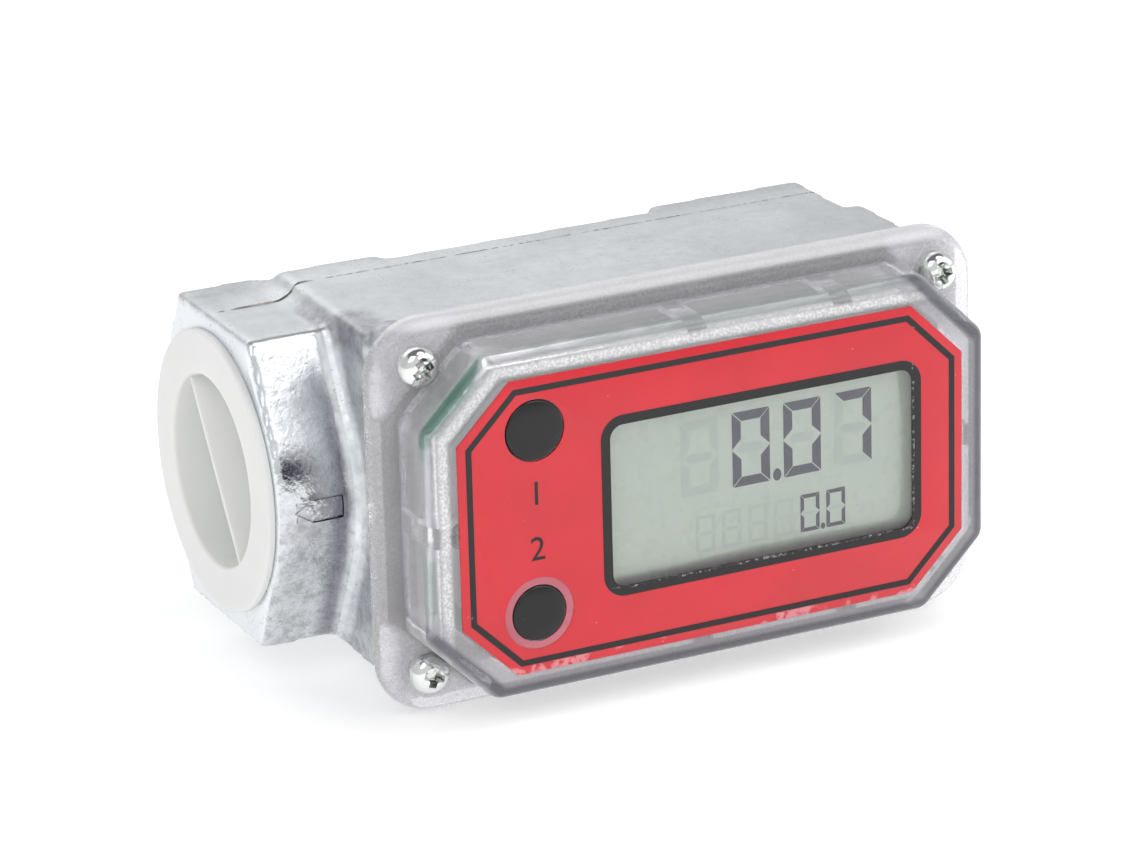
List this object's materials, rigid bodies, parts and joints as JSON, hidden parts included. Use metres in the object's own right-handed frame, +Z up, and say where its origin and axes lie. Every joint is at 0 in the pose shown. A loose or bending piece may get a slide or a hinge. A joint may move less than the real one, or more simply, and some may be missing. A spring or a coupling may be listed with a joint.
{
  "type": "digital fuel flow meter",
  "caption": "In-line turbine flow meter: cast aluminium housing with threaded ports, clear screwed cover with printed label, LCD and push buttons, and a plastic plug in the outlet.",
  "frame": {"origin": "centre of the inlet port's mouth, on the flow axis", "axes": "+X along the flow axis, out of the inlet port; the display faces -Y; +Z is up, along the short sides of the display"},
  "size_m": [0.1038, 0.0661, 0.058],
  "materials": {
    "cast_aluminium": "as-cast, satin and slightly pitted",
    "clear_plastic": "clear moulded plastic, polished",
    "label_print": "printed overlay, semi-gloss",
    "black_rubber": "matt",
    "zinc_steel": "bright zinc plate",
    "lcd_glass": "polished",
    "lcd_reflector": "satin grey-green",
    "lcd_segments": "matt",
    "black_plastic": "moulded, fine grain",
    "board_laminate": "solder mask",
    "chip_resin": "matt",
    "component_metal": "tinned",
    "button_plastic": "satin",
    "plunger_plastic": "moulded",
    "pickup_resin": "potted",
    "battery_can": "printed sleeve",
    "spring_steel": "bright",
    "stator_plastic": "moulded",
    "bearing_bronze": "sintered",
    "rotor_plastic": "moulded",
    "shaft_steel": "ground",
    "magnet_alloy": "ground",
    "plug_plastic": "milky, smooth"
  },
  "bodies": {
    "root": {"turbine_housing": "cast_aluminium", "clear_cover": "clear_plastic", "face_label": "label_print", "cover_gasket": "black_rubber", "cover_screws": "zinc_steel", "lcd_glass": "lcd_glass", "lcd_reflector": "lcd_reflector", "lcd_segments": "lcd_segments", "lcd_frame": "black_plastic", "contact_strips": "black_rubber", "circuit_board": "board_laminate", "processor_chip": "chip_resin", "board_components": "component_metal", "board_screws": "zinc_steel", "display_switch": "black_plastic", "calibrate_switch": "black_plastic", "flow_pickup": "pickup_resin", "battery_holder": "black_plastic", "upper_battery": "battery_can", "lower_battery": "battery_can", "battery_contacts": "spring_steel", "battery_springs": "spring_steel", "inlet_stator": "stator_plastic", "outlet_stator": "stator_plastic", "inlet_ring": "spring_steel", "outlet_ring": "spring_steel", "inlet_bearing": "bearing_bronze", "outlet_bearing": "bearing_bronze"},
    "rotor": {"rotor_wheel": "rotor_plastic", "rotor_shaft": "shaft_steel", "rotor_magnets": "magnet_alloy"},
    "display_key": {"display_button": "button_plastic", "display_plunger": "plunger_plastic"},
    "calibrate_key": {"calibrate_button": "button_plastic", "calibrate_plunger": "plunger_plastic"},
    "plug": {"outlet_plug": "plug_plastic"}
  },
  "joints": [
    {"name": "rotor_spin", "type": "hinge", "parent": "root", "child": "rotor", "pos_m": [-0.0462, 0, 0], "axis": [1, 0, 0], "continuous": true},
    {"name": "display_press", "type": "slide", "parent": "root", "child": "display_key", "axis": [0, 1, 0], "range_m": [0, 0.0006], "stiffness_N_per_m": 2500, "springref_m": -0.0002},
    {"name": "calibrate_press", "type": "slide", "parent": "root", "child": "calibrate_key", "axis": [0, 1, 0], "range_m": [0, 0.0006], "stiffness_N_per_m": 2500, "springref_m": -0.0002},
    {"name": "plug_pull", "type": "slide", "parent": "root", "child": "plug", "axis": [-1, 0, 0], "range_m": [0, 0.02]}
  ]
}
